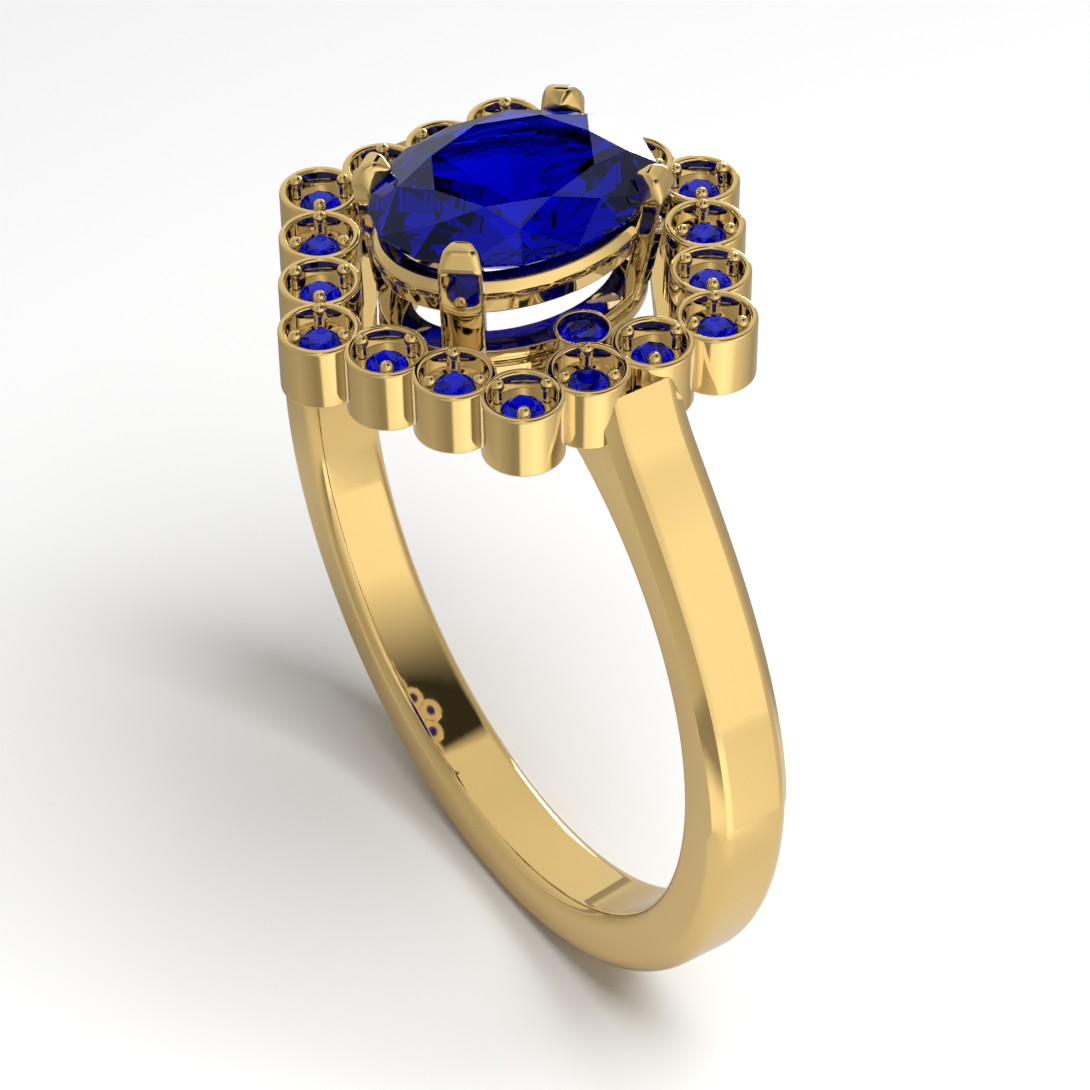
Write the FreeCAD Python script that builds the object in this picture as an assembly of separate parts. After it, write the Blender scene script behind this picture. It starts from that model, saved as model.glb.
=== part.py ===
import FreeCAD, Part
import math
import os

# Oval-stone halo engagement ring, in millimetres.
# The origin is the centre of the finger hole. X runs across the ring through both shoulders,
# Y is the finger axis and +Z points up through the centre stone.

# ---- driving dimensions ----
BORE_R = 8.65            # finger hole, 17.3 mm across
BAND_W = 2.1             # width of the band along the finger
BAND_R = 10.3            # outside radius of the lower band
COMFORT_R = 0.35         # rounded inner edges
LOWER_ROUND = 0.5        # rounded outer edges of the lower band
BEVEL_DEPTH = 0.29       # bevelled outer edges of the shoulders, into the thickness
BEVEL_WIDTH = 0.40       # the same bevels, across the width

PITCH = 1.72             # centre distance of neighbouring halo cups
CUPS_PER_SIDE = 3        # steps along each side of the hexagonal halo
RIM_Z = 10.26            # top of the halo cups
CUP_R = 0.955            # outside radius of a halo cup
CUP_BORE_R = 0.76        # bore of a halo cup above its seat
CUP_HEIGHT = 1.6
SEAT_DEPTH = 0.45        # from the rim down to the seat ledge
SEAT_HOLE_R = 0.40       # hole under each small stone
HALO_STONE_R = 0.475     # small round stones
BEAD_R = 0.155           # bead at the end of each small prong
BEAD_CIRCLE_R = 0.63     # beads stand on this circle round the cup axis
POST_R = 0.10            # post under each bead

SIDE_X = 2.92            # axis of each side bezel
SIDE_R = 0.67
SIDE_BORE_R = 0.58
SIDE_TOP_Z = 9.98
SIDE_SEAT_DEPTH = 0.26   # from the top of the bezel down to its seat
SIDE_STONE_R = 0.56
GIRDLE_THICK = 0.04      # girdle of the small stones

STONE_A = 2.73           # half width of the centre stone, along X
STONE_B = 3.49           # half length of the centre stone, along Y
GIRDLE_Z = 12.13
TABLE_Z = 12.84
CULET_Z = 9.75

UPPER_RING_Z = (10.53, 11.44)
UPPER_RING_AB = (2.43, 3.37)
LOWER_RING_Z = (8.72, 9.52)
LOWER_RING_AB = (2.49, 3.35)
UPPER_RING_WALL = 0.50
LOWER_RING_WALL = 0.80
GROOVE_DEPTH = 0.12      # groove round the lower gallery ring
GROOVE_HEIGHT = 0.14

CLAW_WIDTH = 1.0
CLAW_ANGLE = 37.7        # direction of a claw's outward face, from the X axis
CLAW_OFFSET = 0.85       # sideways from the ring's axis to a claw's middle line
CLAW_FOOT_Z = 9.25
TIP_BOTTOM_Z = 12.1      # above this height a claw narrows into its tip

SHOULDER_TOP_X = 5.41    # top edge of a shoulder's flat outer face
SHOULDER_TOP_Z = 9.95
BEHIND_TOP_X = 4.7       # foot of the slope behind that edge
BEHIND_TOP_Z = 9.2
BRIDGE_START_X = 3.6     # where the shoulder levels off under the head
BRIDGE_END_X = 2.0       # the shoulder's inner end
BRIDGE_TOP_Z = 8.95      # top of the shoulders' inner ends
RAIL_INNER = 3.20        # inner face of a halo rail, from the axis
RAIL_OUTER = 3.90
RAIL_TOP_Z = 9.20

VEC = FreeCAD.Vector
Z_AXIS = VEC(0, 0, 1)
Y_AXIS = VEC(0, 1, 0)
CENTRE = VEC(0, 0, 0)


def save(shape, name):
    """Write one sub-part as its own STEP file."""
    shape.removeSplitter().exportStep("parts/" + name + ".step")


def face_of(points):
    return Part.Face(Part.makePolygon(points + [points[0]]))


# ---------- stones ----------
def solid_from_triangles(triangles):
    faces = [face_of(list(corners)) for corners in triangles]
    shell = Part.makeShell(faces)
    shell.sewShape()
    solid = Part.makeSolid(shell)
    if solid.Volume < 0:
        solid.reverse()
    return solid


def oval_ring(a, b, z, count, start):
    """Points round an oval, with the first one a given part of a step along."""
    step = 2 * math.pi / count
    return [VEC(a * math.cos(step * (i + start)), b * math.sin(step * (i + start)), z)
            for i in range(count)]


def brilliant(a, b, crown, girdle, pavilion, table=0.59):
    """A brilliant-cut stone, girdle plane at z = 0: table, eight kites, stars and halves."""
    tops = oval_ring(a * table, b * table, crown, 8, 0)
    stars = oval_ring(a * 0.79, b * 0.79, crown * 0.659, 8, 0.5)
    upper = oval_ring(a, b, 0, 16, 0)
    lower = oval_ring(a, b, -girdle, 16, 0)
    culet = VEC(0, 0, -girdle - pavilion)
    table_centre = VEC(0, 0, crown)
    tris = []
    for i in range(8):
        nxt = (i + 1) % 8
        left, mid, right = upper[2 * i], upper[2 * i + 1], upper[2 * nxt]
        tris.append((table_centre, tops[i], tops[nxt]))
        tris.append((tops[i], stars[i], tops[nxt]))
        tris.append((tops[i], left, stars[i]))
        tris.append((tops[nxt], stars[i], right))
        tris.append((stars[i], left, mid))
        tris.append((stars[i], mid, right))
    for i in range(16):
        nxt = (i + 1) % 16
        tris.append((upper[i], lower[i], lower[nxt]))
        tris.append((upper[i], lower[nxt], upper[nxt]))
        tris.append((culet, lower[nxt], lower[i]))
    return solid_from_triangles(tris)


def centre_stone():
    stone = brilliant(STONE_A, STONE_B, TABLE_Z - GIRDLE_Z, 0.10, GIRDLE_Z - 0.10 - CULET_Z)
    stone.translate(VEC(0, 0, GIRDLE_Z))
    return stone


def round_stone(radius, x, y, girdle_z):
    stone = brilliant(radius, radius, radius * 0.32, GIRDLE_THICK, radius * 0.86)
    stone.translate(VEC(x, y, girdle_z))
    return stone


# ---------- halo ----------
def halo_centres():
    """Cup centres round a hexagon with its points on the finger axis."""
    side = CUPS_PER_SIDE * PITCH
    corners = [(side * math.sin(math.radians(60 * k)), -side * math.cos(math.radians(60 * k)))
               for k in range(6)]
    centres = []
    for k in range(6):
        x0, y0 = corners[k]
        x1, y1 = corners[(k + 1) % 6]
        for j in range(CUPS_PER_SIDE):
            part = j / CUPS_PER_SIDE
            centres.append((x0 + (x1 - x0) * part, y0 + (y1 - y0) * part))
    return centres


def keep_side(shape, x, y, other_x, other_y):
    """Cut a cup off at the plane half way to its neighbour."""
    box = Part.makeBox(4, 4, 6, VEC(0, -2, -3))
    angle = math.degrees(math.atan2(other_y - y, other_x - x))
    box.rotate(CENTRE, Z_AXIS, angle)
    box.translate(VEC((x + other_x) / 2, (y + other_y) / 2, RIM_Z))
    return shape.cut(box)


def cup_profile():
    """Half section of a cup: rounded lip, bore, seat ledge and a tapered hole below it."""
    lip = (CUP_R - CUP_BORE_R) / 2
    top = RIM_Z - lip
    seat = RIM_Z - SEAT_DEPTH
    bottom = RIM_Z - CUP_HEIGHT
    edges = [
        Part.LineSegment(VEC(CUP_R, 0, bottom), VEC(CUP_R, 0, top)).toShape(),
        Part.Arc(VEC(CUP_R, 0, top), VEC(CUP_R - lip, 0, RIM_Z), VEC(CUP_BORE_R, 0, top)).toShape(),
        Part.LineSegment(VEC(CUP_BORE_R, 0, top), VEC(CUP_BORE_R, 0, seat)).toShape(),
        Part.LineSegment(VEC(CUP_BORE_R, 0, seat), VEC(HALO_STONE_R, 0, seat)).toShape(),
        Part.LineSegment(VEC(HALO_STONE_R, 0, seat), VEC(SEAT_HOLE_R, 0, seat - 0.5)).toShape(),
        Part.LineSegment(VEC(SEAT_HOLE_R, 0, seat - 0.5), VEC(SEAT_HOLE_R, 0, bottom)).toShape(),
        Part.LineSegment(VEC(SEAT_HOLE_R, 0, bottom), VEC(CUP_R, 0, bottom)).toShape(),
    ]
    return Part.Face(Part.Wire(edges))


def halo_cup(index, centres):
    x, y = centres[index]
    cup = cup_profile().revolve(CENTRE, Z_AXIS, 360)
    # Three beads a third of a turn apart, one of them on or opposite the Y direction.
    first = 90 if index % 2 else 30
    for k in range(3):
        angle = math.radians(first + 120 * k)
        px = BEAD_CIRCLE_R * math.cos(angle)
        py = BEAD_CIRCLE_R * math.sin(angle)
        seat = RIM_Z - SEAT_DEPTH
        cup = cup.fuse(Part.makeCylinder(POST_R, SEAT_DEPTH, VEC(px, py, seat - 0.02)))
        cup = cup.fuse(Part.makeSphere(BEAD_R, VEC(px, py, RIM_Z - 0.02)))
    cup.translate(VEC(x, y, 0))
    for step in (-1, 1):
        other = centres[(index + step) % len(centres)]
        cup = keep_side(cup, x, y, *other)
    return cup


def cups_envelope(centres):
    """All cups as plain cylinders, used to cut their neighbours clear."""
    cylinders = [Part.makeCylinder(CUP_R, 4, VEC(x, y, RIM_Z - CUP_HEIGHT)) for x, y in centres]
    return cylinders[0].multiFuse(cylinders[1:])


def halo_rail(sign_x, sign_y, spaces):
    """One quarter of the flat rail inside the cups, from a shoulder to a point of the halo."""
    slope = math.tan(math.radians(30))
    inner_tip = RAIL_INNER / math.cos(math.radians(30))
    outer_tip = RAIL_OUTER / math.cos(math.radians(30))
    start = BAND_W / 2
    web = 0.45
    bottom = RIM_Z - CUP_HEIGHT
    points = [(RAIL_INNER, start), (RAIL_INNER, RAIL_INNER * slope), (web, inner_tip - web * slope),
              (web, 3.2), (0, 3.2), (0, outer_tip), (RAIL_OUTER, RAIL_OUTER * slope),
              (RAIL_OUTER, start)]
    face = face_of([VEC(sign_x * px, sign_y * py, bottom) for px, py in points])
    rail = face.extrude(VEC(0, 0, RAIL_TOP_Z - bottom))
    for space in spaces:
        rail = rail.cut(space)
    return rail


# ---------- shank ----------
def lower_band():
    """Lower half of the band: a rounded section turned half way round the finger axis."""
    half = BAND_W / 2
    r_in, r_out = BORE_R, BAND_R
    c, o = COMFORT_R, LOWER_ROUND
    k = 1 - math.sqrt(0.5)
    edges = []
    for s in (-1, 1):
        edges.append(Part.Arc(VEC(r_in, s * (half - c), 0), VEC(r_in + c * k, s * (half - c * k), 0),
                              VEC(r_in + c, s * half, 0)).toShape())
        edges.append(Part.LineSegment(VEC(r_in + c, s * half, 0), VEC(r_out - o, s * half, 0)).toShape())
        edges.append(Part.Arc(VEC(r_out - o, s * half, 0), VEC(r_out - o * k, s * (half - o * k), 0),
                              VEC(r_out, s * (half - o), 0)).toShape())
    edges.append(Part.LineSegment(VEC(r_in, c - half, 0), VEC(r_in, half - c, 0)).toShape())
    edges.append(Part.LineSegment(VEC(r_out, o - half, 0), VEC(r_out, half - o, 0)).toShape())
    face = Part.Face(Part.Wire(Part.__sortEdges__(edges)))
    return face.revolve(CENTRE, Y_AXIS, 180)


def shoulder_outline():
    """Outer line of a cathedral shoulder, from the middle of the band to its top edge."""
    curve = Part.BSplineCurve()
    points = [VEC(BAND_R, 0, 0), VEC(10.08, 0, 1.77), VEC(8.26, 0, 5.78), VEC(6.52, 0, 8.07),
              VEC(SHOULDER_TOP_X, 0, SHOULDER_TOP_Z)]
    curve.interpolate(Points=points, InitialTangent=VEC(0, 0, 1), FinalTangent=VEC(-0.25, 0, 1))
    return curve.toShape()


def long_edges(body):
    """Edges that run the height of a shoulder along one of its sides."""
    return [e for e in body.Edges if e.BoundBox.YLength < 0.01 and e.BoundBox.ZLength > 8]


def shoulder(side_x):
    """One shoulder: the outline swept across the band's width, with bevelled outer edges."""
    top = VEC(SHOULDER_TOP_X, 0, SHOULDER_TOP_Z)
    behind = VEC(BEHIND_TOP_X, 0, BEHIND_TOP_Z)
    bridge_start = VEC(BRIDGE_START_X, 0, BRIDGE_TOP_Z)
    bridge_end = VEC(BRIDGE_END_X, 0, BRIDGE_TOP_Z)
    bore_end = VEC(BRIDGE_END_X, 0, math.sqrt(BORE_R ** 2 - BRIDGE_END_X ** 2))
    half_angle = math.atan2(bore_end.z, bore_end.x) / 2
    bore_mid = VEC(BORE_R * math.cos(half_angle), 0, BORE_R * math.sin(half_angle))
    bore_start = VEC(BORE_R, 0, 0)
    edges = [
        shoulder_outline(),
        Part.LineSegment(top, behind).toShape(),
        Part.LineSegment(behind, bridge_start).toShape(),
        Part.LineSegment(bridge_start, bridge_end).toShape(),
        Part.LineSegment(bridge_end, bore_end).toShape(),
        Part.Arc(bore_end, bore_mid, bore_start).toShape(),
        Part.LineSegment(bore_start, VEC(BAND_R, 0, 0)).toShape(),
    ]
    face = Part.Face(Part.Wire(edges))
    face.translate(VEC(0, -BAND_W / 2, 0))
    body = face.extrude(VEC(0, BAND_W, 0))
    inner_edges = [e for e in long_edges(body) if e.BoundBox.XMax < BAND_R - 0.5]
    body = body.makeFillet(COMFORT_R, inner_edges)
    outer_edges = [e for e in long_edges(body) if e.BoundBox.XMax > BAND_R - 0.05]
    body = body.makeChamfer(BEVEL_DEPTH, BEVEL_WIDTH, outer_edges)
    if side_x < 0:
        body = body.mirror(CENTRE, VEC(1, 0, 0))
    return body


def shank(cutters):
    """The band, both shoulders and their inner ends, fitted round the head."""
    body = lower_band()
    if body.CenterOfMass.z > 0:
        body.rotate(CENTRE, Y_AXIS, 180)
    body = body.multiFuse([shoulder(1), shoulder(-1)])
    for cutter in cutters:
        body = body.cut(cutter)
    return body


# ---------- head ----------
def oval_prism(a, b, z0, z1):
    ellipse = Part.Ellipse(VEC(0, b, z0), VEC(a, 0, z0), VEC(0, 0, z0))
    face = Part.Face(Part.Wire(ellipse.toShape()))
    return face.extrude(VEC(0, 0, z1 - z0))


def oval_band(a, b, wall, z0, z1):
    return oval_prism(a, b, z0, z1).cut(oval_prism(a - wall, b - wall, z0 - 1, z1 + 1))


def upper_ring(stone, claws):
    a, b = UPPER_RING_AB
    body = oval_band(a, b, UPPER_RING_WALL, *UPPER_RING_Z)
    for cutter in [stone] + claws:
        body = body.cut(cutter)
    return body


def lower_ring(claws, bezels):
    a, b = LOWER_RING_AB
    z0, z1 = LOWER_RING_Z
    body = oval_band(a, b, LOWER_RING_WALL, z0, z1)
    groove_z = (z0 + z1) / 2
    groove = oval_band(a + 0.5, b + 0.5, GROOVE_DEPTH + 0.5, groove_z, groove_z + GROOVE_HEIGHT)
    body = body.cut(groove)
    for cutter in claws + bezels:
        body = body.cut(cutter)
    return body


def claw(sign_x, sign_y, stone):
    """A flat claw: its leg leans out from the lower gallery ring, its tip bends over the stone."""
    half = CLAW_WIDTH / 2
    # Side profile: the first number runs outward, the second is the height.
    profile = [(2.45, CLAW_FOOT_Z), (2.90, CLAW_FOOT_Z), (3.44, 12.30), (3.36, 12.48),
               (3.12, 12.62), (2.64, 12.52), (2.64, 12.30), (2.94, TIP_BOTTOM_Z)]
    body = face_of([VEC(u, -half, w) for u, w in profile]).extrude(VEC(0, CLAW_WIDTH, 0))
    # Seen from above, the tip narrows to a blunt point over the stone.
    plan = [(2.60, -0.10), (2.60, 0.10), (2.98, 0.40), (3.32, half), (5.0, half),
            (5.0, -half), (3.32, -half), (2.98, -0.40)]
    tip = face_of([VEC(u, v, TIP_BOTTOM_Z) for u, v in plan]).extrude(VEC(0, 0, 2))
    leg = Part.makeBox(6, CLAW_WIDTH, TIP_BOTTOM_Z - CLAW_FOOT_Z, VEC(0, -half, CLAW_FOOT_Z))
    body = body.common(tip.fuse(leg))
    body.translate(VEC(0, -CLAW_OFFSET, 0))
    body.rotate(CENTRE, Z_AXIS, -CLAW_ANGLE)
    if sign_x < 0:
        body = body.mirror(CENTRE, VEC(1, 0, 0))
    if sign_y > 0:
        body = body.mirror(CENTRE, VEC(0, 1, 0))
    return body.cut(stone)


def side_bezel(sign):
    """A plain tube that holds one round stone beside the lower gallery ring."""
    x = sign * SIDE_X
    seat_z = SIDE_TOP_Z - SIDE_SEAT_DEPTH
    body = Part.makeCylinder(SIDE_R, SIDE_TOP_Z - BRIDGE_TOP_Z, VEC(x, 0, BRIDGE_TOP_Z))
    bore = Part.makeCylinder(SIDE_BORE_R, 1, VEC(x, 0, seat_z))
    cone = Part.makeCone(0.25, SIDE_STONE_R, 0.5, VEC(x, 0, seat_z - 0.5))
    return body.cut(bore).cut(cone)


def build():
    """Make every sub-part, cut to meet its neighbours, and save it."""
    centres = halo_centres()
    envelope = cups_envelope(centres)
    stone = centre_stone()
    corners = [(1, -1), (1, 1), (-1, 1), (-1, -1)]
    claws = [claw(sx, sy, stone) for sx, sy in corners]
    bezels = [side_bezel(sign) for sign in (1, -1)]
    bezel_space = [Part.makeCylinder(SIDE_R, 2, VEC(s * SIDE_X, 0, BRIDGE_TOP_Z)) for s in (1, -1)]
    oval_space = oval_prism(*LOWER_RING_AB, LOWER_RING_Z[0], LOWER_RING_Z[0] + 2)
    rails = [halo_rail(sx, sy, [envelope, oval_space]) for sx, sy in corners]

    save(shank([envelope, oval_space] + bezel_space), "shank")
    save(stone, "centre_stone")
    save(upper_ring(stone, claws), "upper_gallery_ring")
    save(lower_ring(claws, bezel_space), "lower_gallery_ring")
    for number in range(4):
        save(claws[number], "claw_%d" % (number + 1))
        save(rails[number], "halo_rail_%d" % (number + 1))
    for number in range(2):
        save(bezels[number], "side_bezel_%d" % (number + 1))
        x = (1, -1)[number] * SIDE_X
        girdle_z = SIDE_TOP_Z - SIDE_SEAT_DEPTH + GIRDLE_THICK
        save(round_stone(SIDE_STONE_R, x, 0, girdle_z), "side_stone_%d" % (number + 1))
    for number in range(len(centres)):
        save(halo_cup(number, centres), "halo_cup_%02d" % (number + 1))
        girdle_z = RIM_Z - SEAT_DEPTH + GIRDLE_THICK
        save(round_stone(HALO_STONE_R, *centres[number], girdle_z), "halo_stone_%02d" % (number + 1))


os.makedirs("parts", exist_ok=True)
build()
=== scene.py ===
import math

import bmesh
import bpy
from mathutils import Euler, Matrix, Vector


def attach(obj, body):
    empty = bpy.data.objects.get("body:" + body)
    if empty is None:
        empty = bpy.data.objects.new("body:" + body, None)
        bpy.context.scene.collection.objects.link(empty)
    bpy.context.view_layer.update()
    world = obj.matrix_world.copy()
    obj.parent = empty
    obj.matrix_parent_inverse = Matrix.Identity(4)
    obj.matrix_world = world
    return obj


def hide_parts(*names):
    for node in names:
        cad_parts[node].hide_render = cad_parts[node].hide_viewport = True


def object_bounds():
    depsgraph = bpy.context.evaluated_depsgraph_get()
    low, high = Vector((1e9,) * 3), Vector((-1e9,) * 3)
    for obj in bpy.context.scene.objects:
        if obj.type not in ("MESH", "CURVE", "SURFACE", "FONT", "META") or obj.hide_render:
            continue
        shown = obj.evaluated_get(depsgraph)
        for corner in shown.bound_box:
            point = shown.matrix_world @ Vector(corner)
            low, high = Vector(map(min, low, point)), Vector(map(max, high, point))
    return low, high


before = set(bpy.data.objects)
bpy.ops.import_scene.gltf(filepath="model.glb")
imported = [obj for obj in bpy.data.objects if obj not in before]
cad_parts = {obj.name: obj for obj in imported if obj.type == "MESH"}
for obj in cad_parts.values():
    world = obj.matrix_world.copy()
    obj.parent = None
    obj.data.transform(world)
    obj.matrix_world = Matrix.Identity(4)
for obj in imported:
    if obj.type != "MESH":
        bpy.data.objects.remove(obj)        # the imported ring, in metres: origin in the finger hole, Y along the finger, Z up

cad_low, cad_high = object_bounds()
MM = 0.001

# =====================================================================================================
# Band with its two cathedral shoulders.
# Cast in yellow gold in one piece with the shoulders, filed, then polished. The inner edges are eased
# for comfort, and the shoulders carry a cove and a narrow bevel along each outer edge.
# =====================================================================================================
BORE_R = 8.65                 # finger hole radius
BAND_R = 10.3                 # outer radius of the lower band
HALF_WIDTH = 1.05             # half of the band's width along the finger
COMFORT_R = 0.365             # eased inner edges
SOFT_EDGE_R = 0.52            # large soft outer edges of the lower band
COVE_DEPTH, BEVEL_DEPTH = 0.29, 0.045  # how far below the flat the cove and the bevel start
BEVEL_Y, FLAT_Y = 0.79, 0.645          # where the bevel starts and ends across the width
COVE_HOLLOW, BEVEL_CROWN = 0.004, 0.004  # how much the cove is hollow and the bevel rounded
CRISP_FROM_Z, CRISP_WITHIN = -0.2, 0.55  # the soft edges turn crisp from this height, over this length
SHOULDER_TOP = Vector((5.41, 9.95))
SHOULDER_LINE = ((BAND_R, 0.0), (10.08, 1.77), (8.26, 5.78), (6.52, 8.07), (5.73, 9.17), SHOULDER_TOP)
SHOULDER_BACK = Vector((4.7, 9.2))     # the top slopes down behind its edge to here
BRIDGE_Z, BRIDGE_START_X, BRIDGE_END_X = 8.95, 3.6, 2.0
BRIDGE_CORNER = (4.68, 9.19)           # where a bridge meets the slope behind the shoulder's top
BRIDGE_INSET = 0.002                   # the bridges are this much narrower than the band on each side
LOWER_STEPS, SHOULDER_STEPS = 72, 96   # sections along half of the lower band, and along a shoulder
EDGE_STEPS, COMFORT_STEPS = 13, 9
COVE_SHARE = 2 / 3                     # share of the edge's steps in the cove; the rest are in the bevel
SPLINE_STEPS = 24
SHARP_DEGREES = 12.5                   # edges of the band that turn by more than this stay crisp


def polishing_marks_group():
    """Shader group: faint buffing marks and cloudiness, as colour tone, roughness and height."""
    group = bpy.data.node_groups.new("Polishing marks", "ShaderNodeTree")
    for name, kind, default in (("Colour", "NodeSocketColor", (1.0, 0.7, 0.3, 1.0)),
                                ("Deep colour", "NodeSocketColor", (0.8, 0.5, 0.2, 1.0)),
                                ("Mark scale", "NodeSocketFloat", 900.0),
                                ("Roughness low", "NodeSocketFloat", 0.05),
                                ("Roughness high", "NodeSocketFloat", 0.12)):
        socket = group.interface.new_socket(name, in_out="INPUT", socket_type=kind)
        socket.default_value = default
    for name, kind in (("Colour", "NodeSocketColor"), ("Roughness", "NodeSocketFloat"),
                       ("Height", "NodeSocketFloat")):
        group.interface.new_socket(name, in_out="OUTPUT", socket_type=kind)
    nodes, links = group.nodes, group.links
    inputs, outputs = nodes.new("NodeGroupInput"), nodes.new("NodeGroupOutput")
    coords = nodes.new("ShaderNodeTexCoord")
    cloud = nodes.new("ShaderNodeTexNoise")
    cloud.inputs["Scale"].default_value = 260.0
    cloud.inputs["Detail"].default_value = 3.0
    marks = nodes.new("ShaderNodeTexNoise")
    marks.inputs["Detail"].default_value = 5.0
    stretch = nodes.new("ShaderNodeMapping")
    stretch.inputs["Scale"].default_value = (1.0, 6.0, 1.0)
    links.new(coords.outputs["Object"], cloud.inputs["Vector"])
    links.new(coords.outputs["Object"], stretch.inputs["Vector"])
    links.new(stretch.outputs["Vector"], marks.inputs["Vector"])
    links.new(inputs.outputs["Mark scale"], marks.inputs["Scale"])
    tone = nodes.new("ShaderNodeMix")
    tone.data_type = "RGBA"
    links.new(cloud.outputs["Fac"], tone.inputs["Factor"])
    links.new(inputs.outputs["Colour"], tone.inputs[6])
    links.new(inputs.outputs["Deep colour"], tone.inputs[7])
    rough = nodes.new("ShaderNodeMapRange")
    links.new(marks.outputs["Fac"], rough.inputs["Value"])
    links.new(inputs.outputs["Roughness low"], rough.inputs["To Min"])
    links.new(inputs.outputs["Roughness high"], rough.inputs["To Max"])
    links.new(tone.outputs[2], outputs.inputs["Colour"])
    links.new(rough.outputs["Result"], outputs.inputs["Roughness"])
    links.new(marks.outputs["Fac"], outputs.inputs["Height"])
    return group


polishing_marks = polishing_marks_group()
GOLD, DEEP_GOLD = (1.0, 0.715, 0.285, 1.0), (0.96, 0.66, 0.25, 1.0)
# Painted reflection: gold mirrored in other gold is given this greyer colour in place of its own.
PAINTED_REFLECTION_GOLD = (0.82, 0.75, 0.62, 1.0)       # gold seen in gold, greyer so that it doesn't pile up to orange
# Painted light: gold seen through a stone is given this near-white colour, so the settings light the stones from
# below.
PAINTED_LIGHT_BEHIND_STONE = (0.95, 0.95, 0.97, 1.0)   # pale, so that the settings light the stones from below


def gold(name, roughness_low, roughness_high, bump):
    """Yellow gold: a metal with the buffing marks in its colour, roughness and surface. Its colour is painted
    greyer where it is mirrored in other gold (a painted reflection), and near white where it is seen through a
    stone (painted light).
    """
    material = bpy.data.materials.new(name)
    material.use_nodes = True
    nodes, links = material.node_tree.nodes, material.node_tree.links
    shader = nodes["Principled BSDF"]
    shader.inputs["Metallic"].default_value = 1.0
    marks = nodes.new("ShaderNodeGroup")
    marks.node_tree = polishing_marks
    marks.inputs["Colour"].default_value = GOLD
    marks.inputs["Deep colour"].default_value = DEEP_GOLD
    marks.inputs["Roughness low"].default_value = roughness_low
    marks.inputs["Roughness high"].default_value = roughness_high
    relief = nodes.new("ShaderNodeBump")
    relief.inputs["Strength"].default_value = bump
    relief.inputs["Distance"].default_value = 0.00001
    ray = nodes.new("ShaderNodeLightPath")
    # Painted reflection: in glossy rays the gold's colour is swapped for the greyer mirrored one.
    mirrored = nodes.new("ShaderNodeMix")
    mirrored.data_type = "RGBA"
    mirrored.inputs[7].default_value = PAINTED_REFLECTION_GOLD
    links.new(ray.outputs["Is Glossy Ray"], mirrored.inputs["Factor"])
    links.new(marks.outputs["Colour"], mirrored.inputs[6])
    # Painted light: seen through a stone, the gold is shown near white instead of its own colour.
    painted_light_behind_stone = nodes.new("ShaderNodeMix")
    painted_light_behind_stone.data_type = "RGBA"
    painted_light_behind_stone.inputs[7].default_value = PAINTED_LIGHT_BEHIND_STONE
    links.new(ray.outputs["Is Transmission Ray"], painted_light_behind_stone.inputs["Factor"])
    links.new(mirrored.outputs[2], painted_light_behind_stone.inputs[6])
    links.new(painted_light_behind_stone.outputs[2], shader.inputs["Base Color"])
    links.new(marks.outputs["Roughness"], shader.inputs["Roughness"])
    links.new(marks.outputs["Height"], relief.inputs["Height"])
    links.new(relief.outputs["Normal"], shader.inputs["Normal"])
    return material


polished_gold = gold("polished yellow gold", 0.02, 0.07, 0.05)


def piece_from(name, bm, material, sharp_degrees=35.0):
    """Turn a bmesh in millimetres into a finished object in metres, smooth except at its real edges."""
    bmesh.ops.scale(bm, vec=(MM, MM, MM), verts=bm.verts)
    bmesh.ops.recalc_face_normals(bm, faces=bm.faces)
    mesh = bpy.data.meshes.new(name)
    bm.to_mesh(mesh)
    bm.free()
    for polygon in mesh.polygons:
        polygon.use_smooth = True
    mesh.set_sharp_from_angle(angle=math.radians(sharp_degrees))
    mesh.materials.append(material)
    piece = bpy.data.objects.new(name, mesh)
    bpy.context.scene.collection.objects.link(piece)
    return piece


def settle(piece):
    """Apply the piece's modifiers to its mesh."""
    baked = bpy.data.meshes.new_from_object(piece.evaluated_get(bpy.context.evaluated_depsgraph_get()))
    baked.name = piece.name
    piece.modifiers.clear()
    piece.data = baked
    return piece


def cut_or_join(piece, tool, operation):
    """Cut a piece with another closed object, or join it on, and drop the other object."""
    modifier = piece.modifiers.new(operation, "BOOLEAN")
    modifier.operation = operation
    modifier.solver = "EXACT"
    modifier.object = tool
    modifier.use_self = True
    settle(piece)
    bpy.data.objects.remove(tool)
    return piece


def smooth_line(points, count):
    """Points evenly spread along a curve through the given ones, upright at its start (a cubic spline)."""
    points = [Vector(p) for p in points]
    gaps = [(b - a).length for a, b in zip(points, points[1:])]
    # Each inner slope follows from its neighbours; the sweep forward and back solves them all.
    slopes, shares = [Vector((0.0, 1.0))], [0.0]
    for i in range(1, len(points)):
        before = 1 / gaps[i - 1]
        pull = 3 * (points[i] - points[i - 1]) * before ** 2
        after = 0.0
        if i < len(points) - 1:
            after = 1 / gaps[i]
            pull = pull + 3 * (points[i + 1] - points[i]) * after ** 2
        weight = 2 * (before + after) - before * shares[-1]
        shares.append(after / weight)
        slopes.append((pull - before * slopes[-1]) / weight)
    for i in reversed(range(1, len(points) - 1)):
        slopes[i] = slopes[i] - shares[i] * slopes[i + 1]
    dense = []
    for i, gap in enumerate(gaps):
        for k in range(SPLINE_STEPS):
            t = k / SPLINE_STEPS
            dense.append((1 + 2 * t) * (1 - t) ** 2 * points[i] + t * (1 - t) ** 2 * gap * slopes[i]
                         + t * t * (3 - 2 * t) * points[i + 1] + t * t * (t - 1) * gap * slopes[i + 1])
    dense.append(points[-1])
    lengths = [0.0]
    for a, b in zip(dense, dense[1:]):
        lengths.append(lengths[-1] + (b - a).length)
    spread, j = [], 0
    for i in range(count):
        target = lengths[-1] * i / (count - 1)
        while j < len(dense) - 2 and lengths[j + 1] < target:
            j += 1
        part = (target - lengths[j]) / max(lengths[j + 1] - lengths[j], 1e-9)
        spread.append(dense[j].lerp(dense[j + 1], min(part, 1.0)))
    return spread


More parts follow.
